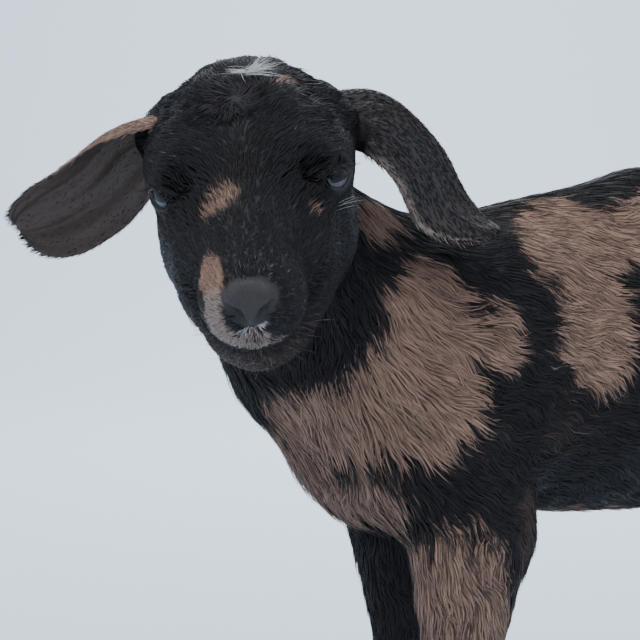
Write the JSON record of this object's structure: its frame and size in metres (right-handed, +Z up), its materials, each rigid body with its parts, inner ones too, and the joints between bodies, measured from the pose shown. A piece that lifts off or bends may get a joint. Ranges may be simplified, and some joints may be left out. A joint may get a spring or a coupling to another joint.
{
  "type": "goat kid",
  "caption": "Life-size still model of a young lop-eared goat kid standing square with its head turned to its left, short wavy black and tan coat.",
  "frame": {"origin": "middle of the bounding box on the floor, between the four feet", "axes": "+Z up, -Y the way that the body faces, +X the animal's left side"},
  "size_m": [0.2008, 0.559, 0.4532],
  "materials": {
    "coat": "short wavy hair, black with tan patches on neck, shoulder, flank, forearm, forehead, muzzle and crown",
    "horn": "dark hoof horn with fine growth lines",
    "eye": "wet, pale blue-grey iris and dark level pupil"
  },
  "bodies": {
    "root": {"torso": "coat", "neck": "coat", "tail": "coat", "head": "coat", "ear_left": "coat", "ear_right": "coat", "eye_left": "eye", "eye_right": "eye", "leg_front_left_upper": "coat", "leg_front_left_lower": "coat", "hoof_front_left_outer": "horn", "dewclaw_front_left_outer": "horn", "hoof_front_left_inner": "horn", "dewclaw_front_left_inner": "horn", "leg_front_right_upper": "coat", "leg_front_right_lower": "coat", "hoof_front_right_outer": "horn", "dewclaw_front_right_outer": "horn", "hoof_front_right_inner": "horn", "dewclaw_front_right_inner": "horn", "leg_hind_left_upper": "coat", "leg_hind_left_lower": "coat", "hoof_hind_left_outer": "horn", "dewclaw_hind_left_outer": "horn", "hoof_hind_left_inner": "horn", "dewclaw_hind_left_inner": "horn", "leg_hind_right_upper": "coat", "leg_hind_right_lower": "coat", "hoof_hind_right_outer": "horn", "dewclaw_hind_right_outer": "horn", "hoof_hind_right_inner": "horn", "dewclaw_hind_right_inner": "horn"}
  },
  "joints": []
}
